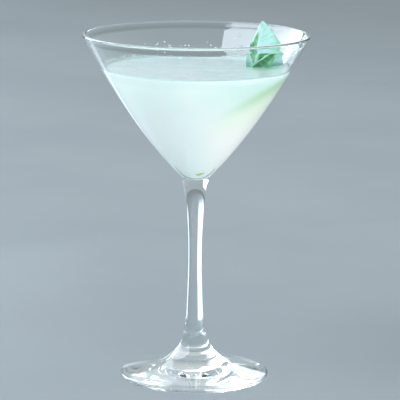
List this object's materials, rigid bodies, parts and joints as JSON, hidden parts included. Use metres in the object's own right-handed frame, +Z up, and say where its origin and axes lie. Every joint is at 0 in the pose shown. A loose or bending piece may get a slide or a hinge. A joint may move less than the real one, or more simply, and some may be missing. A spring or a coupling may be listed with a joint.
{
  "type": "martini cocktail",
  "caption": "Stemmed cocktail glass with a conical bowl and a disc foot, filled with a cloudy pale drink in which basil leaves stand.",
  "frame": {"origin": "on the glass's axis, in the plane that the foot stands on", "axes": "+Z up along the stem, +X to the right as the picture shows it, towards the leaves, +Y away from the viewer"},
  "size_m": [0.116, 0.116, 0.1843],
  "materials": {
    "clear_glass": "clear polished soda-lime glass with a faint blue-green edge colour",
    "cloudy_drink": "cloudy pale mint-white liquid with a smooth wet surface",
    "basil_leaf": "soft crinkled fresh leaf, wet with the drink and paler on its underside"
  },
  "bodies": {
    "root": {"glass": "clear_glass", "drink": "cloudy_drink", "basil_leaf_tall": "basil_leaf", "basil_leaf_folded": "basil_leaf", "basil_leaf_small": "basil_leaf"}
  },
  "joints": []
}
